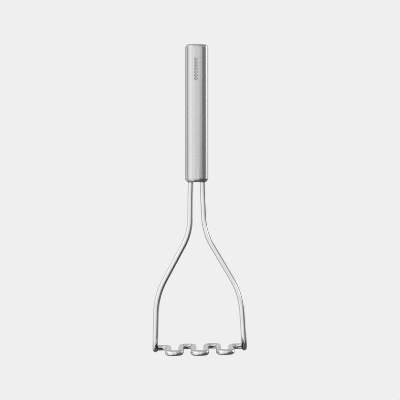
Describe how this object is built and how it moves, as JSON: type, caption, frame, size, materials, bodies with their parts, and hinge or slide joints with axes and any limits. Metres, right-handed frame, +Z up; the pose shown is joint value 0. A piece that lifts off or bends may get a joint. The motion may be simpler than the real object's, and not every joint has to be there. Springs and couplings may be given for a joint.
{
  "type": "potato masher",
  "caption": "Hand masher: a flat serpentine head of bent steel wire on two legs that rise into a plugged steel tube handle.",
  "frame": {"origin": "on the plane that the wire head lies on, under the middle of the head", "axes": "+Z up from the head towards the handle's top, X across the runs from leg to leg, Y along the runs with the front bends at -Y"},
  "size_m": [0.0818, 0.0746, 0.2656],
  "materials": {
    "handle_steel": "satin stainless steel, grain running around the tube",
    "wire_steel": "bright polished stainless steel wire",
    "weld_steel": "dull weld bead, hidden inside the handle"
  },
  "bodies": {
    "root": {"masher_wire": "wire_steel", "handle_tube": "handle_steel", "top_cap": "handle_steel", "bottom_plug": "handle_steel", "left_leg_weld": "weld_steel", "right_leg_weld": "weld_steel"}
  },
  "joints": []
}
